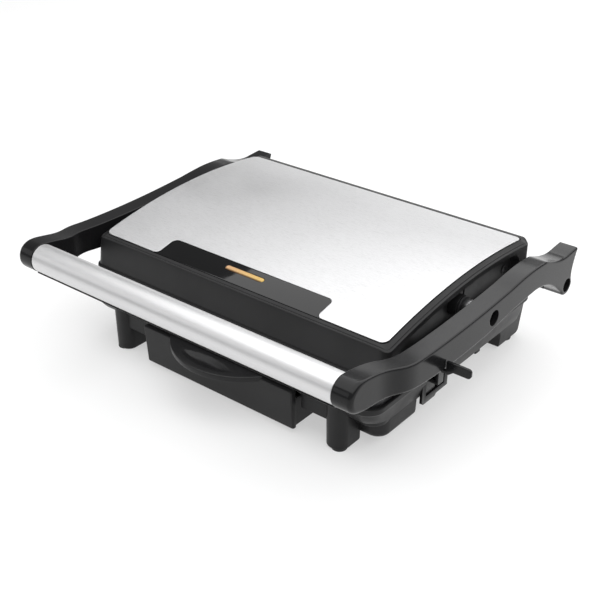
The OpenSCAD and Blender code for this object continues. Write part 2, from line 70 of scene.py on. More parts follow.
# ---------------------------------------------------------------- outlines

def bez(a, b, c, d, n=12):
    """Points of a cubic curve, without its last point."""
    out = []
    for i in range(n):
        t = i / n
        s = 1 - t
        out.append(tuple(s * s * s * p + 3 * s * s * t * q + 3 * s * t * t * r + t * t * t * w
                         for p, q, r, w in zip(a, b, c, d)))
    return out


def arc(cx, cy, r, start, end, n=12):
    """Points of an arc, both ends included."""
    out = []
    for i in range(n + 1):
        a = math.radians(start + (end - start) * i / n)
        out.append((cx + r * math.cos(a), cy + r * math.sin(a)))
    return out


def circle(cx, cy, r, n=48):
    return arc(cx, cy, r, 0, 360 - 360 / n, n - 1)


def quarter(steps):
    """A rounded edge of radius 1, step by step: how far inward it is, and how far along."""
    angles = [math.pi / 2 * i / steps for i in range(steps + 1)]
    return [(1 - math.sin(a), 1 - math.cos(a)) for a in angles]


def mix(a, b, t):
    return tuple(p + (q - p) * t for p, q in zip(a, b))


def smooth(t):
    t = min(1.0, max(0.0, t))
    return t * t * (3 - 2 * t)


def rrect(x0, x1, y0, y1, rf, rb=None, n=8, nx=1, ny=1):
    """Rectangle with round corners, counter-clockwise from the front right corner."""
    rb = rf if rb is None else rb
    arcs = [arc(x1 - rf, y0 + rf, rf, -90, 0, n), arc(x1 - rb, y1 - rb, rb, 0, 90, n),
            arc(x0 + rb, y1 - rb, rb, 90, 180, n), arc(x0 + rf, y0 + rf, rf, 180, 270, n)]
    out = []
    for k, steps in enumerate((ny, nx, ny, nx)):
        out += arcs[k]
        following = arcs[(k + 1) % 4][0]
        out += [mix(arcs[k][-1], following, i / steps) for i in range(1, steps)]
    return out


def rounded(corners, n=6):
    """Polygon whose corners (x, y, radius) are rounded, inward or outward ones alike."""
    out = []
    count = len(corners)
    for i, (x, y, r) in enumerate(corners):
        p = Vector((x, y))
        to_prev = (Vector(corners[i - 1][:2]) - p).normalized()
        to_next = (Vector(corners[(i + 1) % count][:2]) - p).normalized()
        if r < 0.01:
            out.append((x, y))
            continue
        half = math.acos(max(-1, min(1, to_prev.dot(to_next)))) / 2
        reach = r / math.tan(half)
        middle = p + (to_prev + to_next).normalized() * (r / math.sin(half))
        a, b = p + to_prev * reach - middle, p + to_next * reach - middle
        turn = a.angle_signed(b)
        for k in range(n + 1):
            v = a.copy()
            v.rotate(Matrix.Rotation(-turn * k / n, 2))
            out.append(tuple(middle + v))
    return out


def divide(loop, step=4.0):
    """The same loop with no edge longer than step."""
    out = []
    for i, p in enumerate(loop):
        following = loop[(i + 1) % len(loop)]
        parts = max(1, math.ceil(math.dist(p, following) / step))
        out += [mix(p, following, k / parts) for k in range(parts)]
    return out


def inset(loop, d):
    """A counter-clockwise loop moved inward by d, a number or one number for each point."""
    out = []
    n = len(loop)
    for i, p in enumerate(loop):
        a, b = Vector(loop[i - 1]), Vector(loop[(i + 1) % n])
        p = Vector(p)
        e, f = (p - a), (b - p)
        e = e.normalized() if e.length > 1e-9 else f.normalized()
        f = f.normalized() if f.length > 1e-9 else e
        m = Vector((-(e.y + f.y), e.x + f.x))
        m = m.normalized() / max(0.5, Vector((-e.y, e.x)).dot(m.normalized()))
        amount = d[i] if isinstance(d, (list, tuple)) else d
        out.append((p.x + m.x * amount, p.y + m.y * amount))
    return out


def is_inside(p, loop):
    x, y = p
    hit = False
    for i in range(len(loop)):
        (x0, y0), (x1, y1) = loop[i - 1], loop[i]
        if (y0 > y) != (y1 > y) and x < (x1 - x0) * (y - y0) / (y1 - y0) + x0:
            hit = not hit
    return hit


def margin(p, loop):
    """Distance from a point to the nearest edge of a loop."""
    best = 1e9
    for i in range(len(loop)):
        a, b = Vector(loop[i - 1]), Vector(loop[i])
        e = b - a
        t = max(0, min(1, (Vector(p) - a).dot(e) / max(1e-12, e.length_squared)))
        best = min(best, (Vector(p) - a - e * t).length)
    return best


def fill(loop, holes, step):
    """Triangles over a flat outline with holes, with a grid of points inside it."""
    points, edges = [], []
    for ring in (loop, *holes):
        base = len(points)
        points += [Vector(p) for p in ring]
        edges += [(base + i, base + (i + 1) % len(ring)) for i in range(len(ring))]
    xs, ys = [p[0] for p in loop], [p[1] for p in loop]
    # Grid points closer to an outline than this would make slivers
    gap = 0.4 * min(step)
    x = math.floor(min(xs) / step[0]) * step[0]
    while x < max(xs):
        y = math.floor(min(ys) / step[1]) * step[1]
        while y < max(ys):
            if is_inside((x, y), loop) and margin((x, y), loop) > gap:
                if not any(is_inside((x, y), h) or margin((x, y), h) < gap for h in holes):
                    points.append(Vector((x, y)))
            y += step[1]
        x += step[0]
    verts, _, faces, *_ = delaunay_2d_cdt(points, edges, [], 1, 1e-6)
    kept = []
    for f in faces:
        c = sum((verts[i] for i in f), Vector((0, 0))) / len(f)
        if is_inside(c, loop) and not any(is_inside(c, h) for h in holes):
            kept.append(tuple(f))
    return [tuple(v) for v in verts], kept


# ---------------------------------------------------------------- mesh making

class Solid:
    """Collects faces in millimetres, then makes one object of them."""

    def __init__(self):
        self.v, self.f = [], []

    def add(self, points):
        base = len(self.v)
        self.v += points
        return list(range(base, base + len(points)))

    def loft(self, rings, low=True, high=True):
        rows = [self.add(r) for r in rings]
        n = len(rows[0])
        for a, b in zip(rows, rows[1:]):
            self.f += [(a[i], a[(i + 1) % n], b[(i + 1) % n], b[i]) for i in range(n)]
        if low:
            self.f.append(tuple(reversed(rows[0])))
        if high:
            self.f.append(tuple(rows[-1]))

    def cap(self, loop, holes, place, step):
        points, faces = fill(loop, holes, step)
        rows = self.add([place(*p) for p in points])
        self.f += [tuple(rows[i] for i in f) for f in faces]

    def mesh(self, name, sharp=SHARP):
        me = bpy.data.meshes.new(name)
        me.from_pydata([Vector(p) * MM for p in self.v], [], self.f)
        bm = bmesh.new()
        bm.from_mesh(me)
        bmesh.ops.remove_doubles(bm, verts=bm.verts, dist=WELD)
        bmesh.ops.dissolve_degenerate(bm, dist=1e-7, edges=bm.edges)
        bmesh.ops.recalc_face_normals(bm, faces=bm.faces)
        bm.to_mesh(me)
        bm.free()
        shade(me, sharp)
        return me

    def make(self, name, body, slot, stands_for=(), sharp=SHARP):
        ob = bpy.data.objects.new(name, self.mesh(name, sharp))
        bpy.context.scene.collection.objects.link(ob)
        ob.data.materials.append(LOOKS[slot])
        even_normals(ob)
        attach(ob, body)
        if stands_for:
            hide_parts(*stands_for)
        return ob


def shade(me, sharp):
    me.polygons.foreach_set("use_smooth", [True] * len(me.polygons))
    me.set_sharp_from_angle(angle=math.radians(sharp))


def even_normals(ob):
    """Shading only: flat faces keep their own normal next to the small rounded edges round them."""
    mod = ob.modifiers.new("even", "WEIGHTED_NORMAL")
    mod.keep_sharp = True
    mod.weight = 60


def cut(ob, cutters, sharp):
    """Cuts solids out of a piece and applies the result to its mesh."""
    ob.modifiers.clear()
    for c in cutters:
        tool = bpy.data.objects.new("tool", c.mesh("tool"))
        bpy.context.scene.collection.objects.link(tool)
        mod = ob.modifiers.new("cut", "BOOLEAN")
        mod.operation = "DIFFERENCE"
        mod.solver = "EXACT"
        mod.object = tool
    bpy.context.view_layer.update()
    deps = bpy.context.evaluated_depsgraph_get()
    me = bpy.data.meshes.new_from_object(ob.evaluated_get(deps))
    tools = [m.object for m in ob.modifiers]
    ob.modifiers.clear()
    for t in tools:
        bpy.data.objects.remove(t)
    ob.data = me
    shade(me, sharp)
    even_normals(ob)


def ring(loop, z):
    """A flat loop at height z, a number or a function of x and y."""
    return [(x, y, z(x, y) if callable(z) else z) for x, y in loop]


def slab(solid, loop, z0, z1, edge):
    """Upright prism with rounded top and bottom edges."""
    turn = quarter(3)
    rings = [ring(inset(loop, edge * inward), z0 + edge * along) for inward, along in turn]
    rings += [ring(inset(loop, edge * inward), z1 - edge * along) for inward, along in reversed(turn)]
    solid.loft(rings)


def drafted(solid, low, high, z0, z1, edge):
    """Prism between two loops of the same number of points, well rounded below."""
    top_edge = 0.3
    rings = [ring(inset(low, edge * inward), z0 + edge * along) for inward, along in quarter(4)]
    rings += [ring(high, z1 - top_edge), ring(inset(high, top_edge), z1)]
    solid.loft(rings)


def sideways(solid, side, loop, steps):
    """A side-view outline carried along X. Each step is an X and how far the outline is inset."""
    solid.loft([[(side * x, y, z) for y, z in inset(loop, k)] for x, k in steps])


def boss(solid, side, centre, steps, n=48):
    """A round boss along X. Each step is a radius and an X."""
    solid.loft([[(side * x, y, z) for y, z in circle(*centre, r, n)] for r, x in steps])


# ---------------------------------------------------------------- materials

def node_material(name):
    mat = bpy.data.materials.new(name)
    mat.use_nodes = True
    tree = mat.node_tree
    return mat, tree, tree.nodes["Principled BSDF"]


def coords(tree, scale):
    tc = tree.nodes.new("ShaderNodeTexCoord")
    mp = tree.nodes.new("ShaderNodeMapping")
    mp.inputs["Scale"].default_value = scale
    tree.links.new(tc.outputs["Object"], mp.inputs["Vector"])
    return mp.outputs["Vector"]


def noise(tree, vector, scale, detail=3, rough=0.5):
    n = tree.nodes.new("ShaderNodeTexNoise")
    n.inputs["Scale"].default_value = scale
    n.inputs["Detail"].default_value = detail
    n.inputs["Roughness"].default_value = rough
    tree.links.new(vector, n.inputs["Vector"])
    return n.outputs["Fac"]


def ramp(tree, value, low, high, stops=(0.3, 0.7)):
    r = tree.nodes.new("ShaderNodeMapRange")
    r.inputs["From Min"].default_value = stops[0]
    r.inputs["From Max"].default_value = stops[1]
    r.inputs["To Min"].default_value = low
    r.inputs["To Max"].default_value = high
    tree.links.new(value, r.inputs["Value"])
    return r.outputs["Result"]


def tint(tree, value, low, high, stops=(0.3, 0.7)):
    r = tree.nodes.new("ShaderNodeValToRGB")
    r.color_ramp.elements[0].position = stops[0]
    r.color_ramp.elements[1].position = stops[1]
    r.color_ramp.elements[0].color = (*low, 1)
    r.color_ramp.elements[1].color = (*high, 1)
    tree.links.new(value, r.inputs["Fac"])
    return r.outputs["Color"]


def bump(tree, shader, heights, depths):
    """Bump from one or more height outputs, chained."""
    previous = None
    for h, d in zip(heights, depths):
        b = tree.nodes.new("ShaderNodeBump")
        b.inputs["Distance"].default_value = d
        tree.links.new(h, b.inputs["Height"])
        if previous is not None:
            tree.links.new(previous, b.inputs["Normal"])
        previous = b.outputs["Normal"]
    tree.links.new(previous, shader.inputs["Normal"])


def plastic(name, colour, rough, grain=1400, depth=0.00002, spread=0.05, ior=1.32):
    """Moulded plastic: fine erosion grain, faint flow marks, a little uneven gloss."""
    mat, tree, shader = node_material(name)
    at = coords(tree, (1, 1, 1))
    fine = noise(tree, at, grain, 2, 0.6)
    wide = noise(tree, at, 18, 3, 0.5)
    tree.links.new(tint(tree, wide, [c * 0.86 for c in colour], [c * 1.14 for c in colour]),
                   shader.inputs["Base Color"])
    tree.links.new(ramp(tree, noise(tree, at, 60, 4, 0.6), rough - spread, rough + spread),
                   shader.inputs["Roughness"])
    shader.inputs["IOR"].default_value = ior
    bump(tree, shader, [fine, wide], [depth, 0.00006])
    return mat


def brushed(name, colour, rough, scale, depth=0.00001, wear=0.06):
    """Brushed steel: long fine scratches along the small component of scale."""
    mat, tree, shader = node_material(name)
    shader.inputs["Metallic"].default_value = 1.0
    lines = noise(tree, coords(tree, scale), 1.0, 4, 0.7)
    hair = noise(tree, coords(tree, [s * 2.7 for s in scale]), 1.0, 2, 0.5)
    cloud = noise(tree, coords(tree, (1, 1, 1)), 9, 3, 0.5)
    mixer = tree.nodes.new("ShaderNodeMath")
    mixer.operation = "ADD"
    tree.links.new(lines, mixer.inputs[0])
    tree.links.new(hair, mixer.inputs[1])
    worn, clean = [c * (1 - wear) for c in colour], [c * (1 + wear) for c in colour]
    tree.links.new(tint(tree, mixer.outputs[0], worn, clean, (0.7, 1.0)), shader.inputs["Base Color"])
    rough_mix = tree.nodes.new("ShaderNodeMath")
    rough_mix.operation = "ADD"
    tree.links.new(ramp(tree, lines, rough - 0.05, rough + 0.05), rough_mix.inputs[0])
    tree.links.new(ramp(tree, cloud, -0.03, 0.03), rough_mix.inputs[1])
    tree.links.new(rough_mix.outputs[0], shader.inputs["Roughness"])
    bump(tree, shader, [lines, hair], [depth, depth * 0.5])
    return mat


def coated(name, colour, rough):
    """Non-stick coating: dark, speckled, slightly pebbled."""
    mat, tree, shader = node_material(name)
    at = coords(tree, (1, 1, 1))
    speck = noise(tree, at, 1500, 2, 0.7)
    cells = tree.nodes.new("ShaderNodeTexVoronoi")
    cells.inputs["Scale"].default_value = 900
    tree.links.new(at, cells.inputs["Vector"])
    tree.links.new(tint(tree, speck, colour, [c * 2.1 + 0.02 for c in colour], (0.55, 0.8)),
                   shader.inputs["Base Color"])
    tree.links.new(ramp(tree, noise(tree, at, 40, 3), rough - 0.07, rough + 0.07),
                   shader.inputs["Roughness"])
    shader.inputs["Metallic"].default_value = 0.25
    bump(tree, shader, [cells.outputs["Distance"], speck], [0.00004, 0.00002])
    return mat


def matt(name, colour, rough, scale=300):
    """Rubber, ceramic, board and sleeve: matt with mottling."""
    mat, tree, shader = node_material(name)
    at = coords(tree, (1, 1, 1))
    spots = noise(tree, at, scale, 4, 0.6)
    tree.links.new(tint(tree, spots, [c * 0.8 for c in colour], colour), shader.inputs["Base Color"])
    tree.links.new(ramp(tree, spots, rough - 0.08, rough), shader.inputs["Roughness"])
    bump(tree, shader, [spots], [0.00004])
    return mat


def heated(name):
    """Heater sheath: dull steel with straw and blue heat tint along its length."""
    mat, tree, shader = node_material(name)
    shader.inputs["Metallic"].default_value = 1.0
    at = coords(tree, (1, 1, 1))
    straw, blue = (0.30, 0.24, 0.18), (0.33, 0.34, 0.40)
    tree.links.new(tint(tree, noise(tree, at, 14, 3), straw, blue, (0.35, 0.65)),
                   shader.inputs["Base Color"])
    tree.links.new(ramp(tree, noise(tree, at, 200, 3), 0.38, 0.55), shader.inputs["Roughness"])
    bump(tree, shader, [noise(tree, at, 900, 2)], [0.00002])
    return mat


def amber(name):
    """Lit amber lens: a painted highlight makes its right end lighter and yellower, and painted shade
    makes its two long edges brown.
    """
    mat, tree, shader = node_material(name)
    at = coords(tree, (1, 1, 1))
    split = tree.nodes.new("ShaderNodeSeparateXYZ")
    tree.links.new(at, split.inputs[0])
    along = ramp(tree, split.outputs["X"], 0, 1, (-0.02, 0.02))
    across = tree.nodes.new("ShaderNodeMath")
    across.operation = "ADD"
    across.inputs[1].default_value = -LENS_Y * MM
    tree.links.new(split.outputs["Y"], across.inputs[0])
    off = tree.nodes.new("ShaderNodeMath")
    off.operation = "ABSOLUTE"
    tree.links.new(across.outputs[0], off.inputs[0])
    # Painted highlight: the lens colour runs lighter and yellower towards its right end
    glow_and_painted_highlight = tint(tree, along, (0.46, 0.27, 0.14), (0.52, 0.35, 0.10), (0.0, 1.0))
    # Painted shade: dark brown mixed in along the two long edges, from 1.2 to 2.4 mm off the centre line
    edge_shade_mix = tree.nodes.new("ShaderNodeMix")
    edge_shade_mix.data_type = "RGBA"
    edge_shade_mix.inputs["B"].default_value = (0.10, 0.045, 0.012, 1)
    tree.links.new(ramp(tree, off.outputs[0], 0, 1, (0.0012, 0.0024)), edge_shade_mix.inputs["Factor"])
    tree.links.new(glow_and_painted_highlight, edge_shade_mix.inputs["A"])
    colour = edge_shade_mix.outputs["Result"]
    tree.links.new(colour, shader.inputs["Base Color"])
    tree.links.new(colour, shader.inputs["Emission Color"])
    tree.links.new(ramp(tree, noise(tree, at, 500, 2), 0.22, 0.32), shader.inputs["Roughness"])
    shader.inputs["Emission Strength"].default_value = 0.05
    shader.inputs["IOR"].default_value = 1.35
    bump(tree, shader, [noise(tree, at, 700, 2)], [0.00001])
    return mat


LOOKS = {slot: look(slot, **how) for slot, look, how in (
    ("housing_plastic", plastic, dict(colour=(0.013, 0.013, 0.0135), rough=0.40)),
    ("arm_plastic", plastic, dict(colour=(0.009, 0.009, 0.0095), rough=0.18, grain=1100,
                                  depth=0.000005, spread=0.03, ior=1.3)),
    ("lock_plastic", plastic, dict(colour=(0.008, 0.008, 0.0085), rough=0.20, grain=1200,
                                   depth=0.000006, spread=0.04)),
    ("tray_plastic", plastic, dict(colour=(0.014, 0.014, 0.0145), rough=0.34, grain=1300,
                                   depth=0.000015)),
    ("panel_gloss", plastic, dict(colour=(0.004, 0.004, 0.0043), rough=0.03, grain=600,
                                  depth=0.0000005, spread=0.01, ior=1.38)),
    ("cover_steel", brushed, dict(colour=(0.545, 0.545, 0.55), rough=0.42, scale=(90, 2400, 2400),
                                  depth=0.000016, wear=0.14)),
    ("tube_steel", brushed, dict(colour=(0.66, 0.66, 0.665), rough=0.40, scale=(60, 2600, 2600),
                                 wear=0.03)),
    ("pin_steel", brushed, dict(colour=(0.34, 0.34, 0.345), rough=0.36, scale=(1500, 200, 200))),
    ("screw_steel", brushed, dict(colour=(0.55, 0.55, 0.56), rough=0.35, scale=(900, 900, 900))),
    ("dark_screw", brushed, dict(colour=(0.05, 0.05, 0.052), rough=0.42, scale=(900, 900, 900))),
    ("plate_coating", coated, dict(colour=(0.030, 0.030, 0.032), rough=0.42)),
    ("element_sheath", heated, {}),
    ("reflector_sheet", brushed, dict(colour=(0.68, 0.68, 0.69), rough=0.34, scale=(50, 1800, 900))),
    ("bottom_sheet", brushed, dict(colour=(0.20, 0.20, 0.205), rough=0.48, scale=(60, 1500, 900))),
    ("pad_rubber", matt, dict(colour=(0.030, 0.030, 0.031), rough=0.86)),
    ("bush_plastic", plastic, dict(colour=(0.020, 0.020, 0.021), rough=0.5)),
    ("wire_sleeve", matt, dict(colour=(0.42, 0.08, 0.05), rough=0.62, scale=800)),
    ("ceramic", matt, dict(colour=(0.78, 0.75, 0.68), rough=0.7, scale=500)),
    ("lamp_board", matt, dict(colour=(0.62, 0.60, 0.50), rough=0.6, scale=700)),
    ("lens_amber", amber, {}),
)}


def dress_nodes():
    """Every CAD node gets its slot's material and a weld, and the ones listed here a bevel."""
    widths = {"lower_grill_plate": 0.9, "upper_grill_plate": 0.9, "lock_guide": 0.5, "lock_slide": 0.6,
              "foot_pads": 0.5, "bottom_cover": 0.3, "cord_gland": 0.5, "float_pins": 0.35,
              "hinge_pins": 0.5, "arm_screws": 0.5, "handle_strip": 0.35, "float_bushes": 0.3,
              "lid_screws": 0.4, "base_screws": 0.4, "guide_screws": 0.3}
    for part in frame["record"]["subparts"]:
        ob = frame["nodes"][part["node"]]
        ob.data.materials.clear()
        ob.data.materials.append(LOOKS[part["material_slot"]])
        weld = ob.modifiers.new("weld", "WELD")
        weld.merge_threshold = WELD
        if part["node"] in widths:
            flat = ob.modifiers.new("flat", "DECIMATE")
            flat.decimate_type = "DISSOLVE"
            flat.angle_limit = math.radians(0.8)
            bevel = ob.modifiers.new("bevel", "BEVEL")
            bevel.width = widths[part["node"]] * MM
            bevel.segments = 2
            bevel.limit_method = "ANGLE"
            bevel.angle_limit = math.radians(40)
            bevel.harden_normals = True
        shade(ob.data, SHARP)


# ---------------------------------------------------------------- lid

def crown(y):
    return CROWN_TOP - CROWN_R + math.sqrt(CROWN_R ** 2 - (y - CROWN_Y) ** 2)


def side_share(loop):
    """1 where a loop faces left or right, 0 where it faces front or back."""
    out = []
    n = len(loop)
    for i in range(n):
        e = Vector(loop[(i + 1) % n]) - Vector(loop[i - 1])
        out.append(smooth(abs(e.normalized().y)))
    return out


def lid_ring(half, y0, y1, r, drop_front, drop_side, drop_rear=None):
    """A ring round the lid that follows the crown, lower along the sides than along the ends.
    Half width, front, rear and corner radius, then its drop in front, at the sides and behind."""
    loop = rrect(-half, half, y0, y1, r, n=10, nx=2, ny=44)
    rear = drop_front if drop_rear is None else drop_rear
    out = []
    for (x, y), w in zip(loop, side_share(loop)):
        end = rear if y > PIVOT[0] else drop_front
        out.append((x, y, crown(y) - end - (drop_side - end) * w))
    return out


def flat_ring(half, y0, y1, r, z):
    return ring(rrect(-half, half, y0, y1, r, n=10, nx=2, ny=44), z)


def recess_outline():
    """Side view of the recess in each side wall of the lid. Its top follows the crown."""
    front, rear, sill, corner, drop = -74, 110, 73.5, 3.0, 9.0
    top = [(y, crown(y) - drop) for y in [-60 + 154 * i / 30 for i in range(31)]]
    (y0, z0), (y1, z1) = top[0], top[-1]
    bends = (bez((rear, 80), (rear, 92), (104, z1 - 1.2), (y1, z1), 8) + list(reversed(top))
             + bez((y0, z0), (-68, z0 - 2.5), (front, 90), (front, 84), 8)[1:] + [(front, 84)])
    return rounded([(rear, sill, corner)] + [(y, z, 0) for y, z in bends] + [(front, sill, corner)], 4)


def relief_outline(y0, y1):
    """Side view of a relief in the recess: level below, following the crown above."""
    sill, corner, drop, n = 77.0, 2.2, 17.0, 14
    upper = [(y, crown(y) - drop) for y in [y0 + (y1 - y0) * i / n for i in range(n, -1, -1)]]
    points = [(y0, sill), (y1, sill)] + upper
    corners = (0, 1, 2, len(points) - 1)
    return rounded([(y, z, corner if i in corners else 0) for i, (y, z) in enumerate(points)], 4)


def make_lid():
    s = Solid()
    wall_low = flat_ring(156.6, -93.2, 124.7, 9, 72.0)
    wall_high = lid_ring(155.9, -89.6, 124.6, 7.5, 2.2, 4.9, 2.0)
    # Recess for the grill plate, bead round the foot, drafted wall, rolled rim, ledge for the sheet
    rings = [
        flat_ring(141.6, -87.6, 113.6, 11, 74), flat_ring(141.6, -87.6, 113.6, 11, 66.7),
        flat_ring(142.3, -88.3, 114.3, 11.5, 66.0), flat_ring(157.2, -94.7, 124.7, 9.4, 66.0),
        flat_ring(157.8, -95.3, 125.3, 10, 66.3), flat_ring(158.0, -95.5, 125.5, 10.2, 67.0),
        flat_ring(158.0, -95.5, 125.5, 10.2, 69.4), flat_ring(157.8, -95.2, 125.3, 10, 70.1),
        flat_ring(157.4, -94.4, 125.0, 9.6, 70.4), flat_ring(156.9, -93.4, 124.8, 9.2, 70.5),
        wall_low,
    ]
    for i in range(1, 8):
        rings.append([mix(a, b, i / 8) for a, b in zip(wall_low, wall_high)])
    rings += [
        wall_high,
        lid_ring(155.7, -89.4, 124.4, 7.3, 1.6, 4.3, 1.0),
        lid_ring(155.2, -89.0, 123.9, 6.9, 1.25, 3.9, 0.4),
        lid_ring(154.7, -88.3, 123.2, 6.6, 1.15, 3.6, 0.1),
        lid_ring(154.4, -87.9, 122.8, 6.4, 1.5, 3.7, 0.0),
        lid_ring(154.1, -87.6, 122.4, 6.3, 1.5, 3.5, 0.0),
        lid_ring(153.8, -87.2, 121.6, 6.2, 1.0, 2.9, 0.0),
        lid_ring(151.3, -85.4, 119.4, 5.9, 0.55, 1.1, 0.0),
        lid_ring(150.8, -84.9, 118.9, 5.7, 0.5, 0.6, 0.1),
        lid_ring(150.65, -84.75, 118.65, 5.6, 0.9, 1.0), lid_ring(150.6, -84.7, 118.6, 5.6, 1.9, 1.9),
        lid_ring(149.0, -83.0, 117.0, 5.0, 2.4, 2.4),
    ]
    s.loft(rings)
    shell = s.make("lid_shell", "lid", "housing_plastic", ("upper_housing",), sharp=24)
    cutters = []
    for side in (1, -1):
        cutters.append(Solid())
        sideways(cutters[-1], side, recess_outline(),
                 ((146.0, 0), (154.6, 0), (155.6, -0.4), (157.0, -1.6), (162, -1.8)))
    cut(shell, cutters, 24)
    # What stands in the side recesses: pivot boss, two arch-shaped reliefs, two screw bosses
    d = Solid()
    for side in (1, -1):
        boss(d, side, PIVOT, ((9.6, 145.5), (9.6, 153.7), (9.4, 154.1), (8.9, 154.3), (7.8, 154.3)))
        for y0, y1 in ((-60, 2), (32, 97)):
            sideways(d, side, relief_outline(y0, y1), ((145.5, 0), (146.5, 0), (146.8, 0.3)))
        for centre in ((-58, 88), (96, 86)):
            boss(d, side, centre,
                 ((4.1, 145.5), (4.1, 147.5), (3.8, 147.8), (3.0, 147.8), (2.9, 147.0)), 24)
    d.make("lid_side_details", "lid", "housing_plastic")


def crown_plate(solid, loop, holes, lift, thick, edge, step):
    """Bent sheet whose top is lift above the crown, with a small rounded upper edge."""
    def at(k):
        return lambda x, y: crown(y) + lift - k
    # No edge is longer than this, so that the outline bends with the crown
    longest = 3.5
    loop = divide(loop, longest)
    holes = [divide(h, longest) for h in holes]
    inner = inset(loop, edge + 0.6)
    solid.loft([ring(loop, at(thick)), ring(loop, at(edge)),
                ring(inset(loop, edge * 0.3), at(edge * 0.3)), ring(inset(loop, edge), at(0)),
                ring(inner, at(0))], low=False, high=False)
    outer = []
    for h in holes:
        rings = [list(reversed(inset(list(reversed(h)), k))) for k in (edge, edge + 0.5)]
        solid.loft([ring(h, at(thick)), ring(h, at(edge)), ring(rings[0], at(0)), ring(rings[1], at(0))],
                   low=False, high=False)
        outer.append(rings[1])
    solid.cap(inner, outer, lambda x, y: (x, y, crown(y) + lift), step)
    solid.cap(loop, holes, lambda x, y: (x, y, crown(y) + lift - thick), step)


def make_cover():
    x, y0, y1 = SHEET_HIGH[0], SHEET_LOW[1], SHEET_HIGH[1]
    # Half width, rear edge and corner radii of the notch that the panel sits in
    px, py, foot_r, notch_r = 86.0, mm_box("control_panel")[1][1], 4.5, 5.5
    corner_r = 6
    outline = rounded([(-x, y0, corner_r), (-px, y0, foot_r), (-px, py, notch_r), (px, py, notch_r),
                       (px, y0, foot_r), (x, y0, corner_r), (x, y1, corner_r), (-x, y1, corner_r)], 8)
    s = Solid()
    crown_plate(s, outline, [], lift=0.0, thick=0.8, edge=0.22, step=(14, 3.5))
    s.make("cover_sheet", "lid", "cover_steel", ("top_cover",), sharp=30)
    # Gloss panel, a small gap inside the notch, with feet that flare round the sheet's corners
    g = 0.25
    foot_x, foot_y = px + foot_r, y0 + foot_r
    panel = ([(-foot_x, y0 - 0.5), (foot_x, y0 - 0.5), (foot_x, y0 - g)]
             + arc(foot_x, foot_y, foot_r + g, -90, -180, 8)[1:]
             + rounded([(px - g, foot_y, 0), (px - g, py - g, notch_r - g),
                        (-px + g, py - g, notch_r - g), (-px + g, foot_y, 0)], 8)[1:-1]
             + arc(-foot_x, foot_y, foot_r + g, 0, -90, 8))
    slot = rrect(-19.8, 21.2, LENS_Y - 2.75, LENS_Y + 2.75, 2.7, n=8)
    p = Solid()
    crown_plate(p, panel, [slot], lift=-0.12, thick=2.0, edge=0.2, step=(8, 3.5))
    p.make("gloss_panel", "lid", "panel_gloss", ("control_panel",), sharp=30)
    # Lens bar, domed above the panel
    lens = Solid()
    bar = rrect(-19.55, 20.95, LENS_Y - 2.5, LENS_Y + 2.5, 2.45, n=8, nx=6)
    rows = [ring(bar, lambda x, y: crown(y) - 5)]
    for i in range(6):
        a = math.pi / 2 * i / 5
        rows.append(ring(inset(bar, 1.5 * (1 - math.cos(a))),
                         lambda x, y, a=a: crown(y) - 0.45 + 0.75 * math.sin(a)))
    lens.loft(rows)
    lens.make("amber_lens", "lid", "lens_amber", ("indicator_lens",), sharp=50)


# ---------------------------------------------------------------- arms and handle

# Inner and outer face of an arm behind its step inward, and the depth of that step
ARM_IN, ARM_OUT, JOG = 166.0, -mm_box("left_arm")[0][0], 8.0


def jog(y):
    """How far the arm has stepped inward at depth y."""
    middle, spread = -109, 5
    q = max(-4.0, min(4.0, (y - middle) / spread))
    # The root w of w^3 + 3 w = q runs from -1 to 1, fastest in the middle
    w = 2 * math.sinh(math.asinh(q / 2) / 3)
    return JOG * (1 - smooth((1 + w) / 2))


# The arm's lower edge as (y, z), from behind the hinge to the handle
LOWER_EDGE = (bez((137, 59), (130, 64), (116, 80.5), (86, 82), 20)
              + bez((86, 82), (60, 81.2), (40, 79.6), (15, 76), 16)
              + bez((15, 76), (-10, 73.6), (-60, 73.6), (-90, 77.8), 22)
              + bez((-90, 77.8), (-115, 81), (-135, 81.5), (-148.3, 83.7), 16))


def arm_outline():
    """Side view of an arm: nose, top, saddle, horn, hinge barrel, then the lower edge."""
    loop = arc(*HANDLE, 12.6, 268, 92, 30)
    loop += bez((-148.3, 108.9), (-130, 107.6), (-112, 100.2), (-75, 99), 24)
    loop += bez((-75, 99), (-30, 97.6), (10, 99.2), (45, 101.6), 24)
    loop += bez((45, 101.6), (65, 103.8), (80, 104.6), (94, 103.2), 12)
    loop += bez((94, 103.2), (97, 103.1), (99, 102.9), (101.5, 102.6), 3)
    loop += bez((101.5, 102.6), (108, 100.4), (117, 96.0), (128, 93.8), 10)
    loop += bez((128, 93.8), (132, 93.0), (137, 92.4), (141, 92.6), 4)
    loop += bez((141, 92.6), (147, 93.1), (153, 93.5), (158.7, 93.8), 4)
    loop += bez((158.7, 93.8), (160.2, 93.9), (160.7, 93.2), (160.4, 91.9), 4)
    loop += bez((160.4, 91.9), (157, 84), (151, 72), (HINGE[0] + 9.5, HINGE[1]), 16)
    loop += arc(*HINGE, 9.5, 0, -150, 22)
    loop += LOWER_EDGE
    return list(reversed(loop))


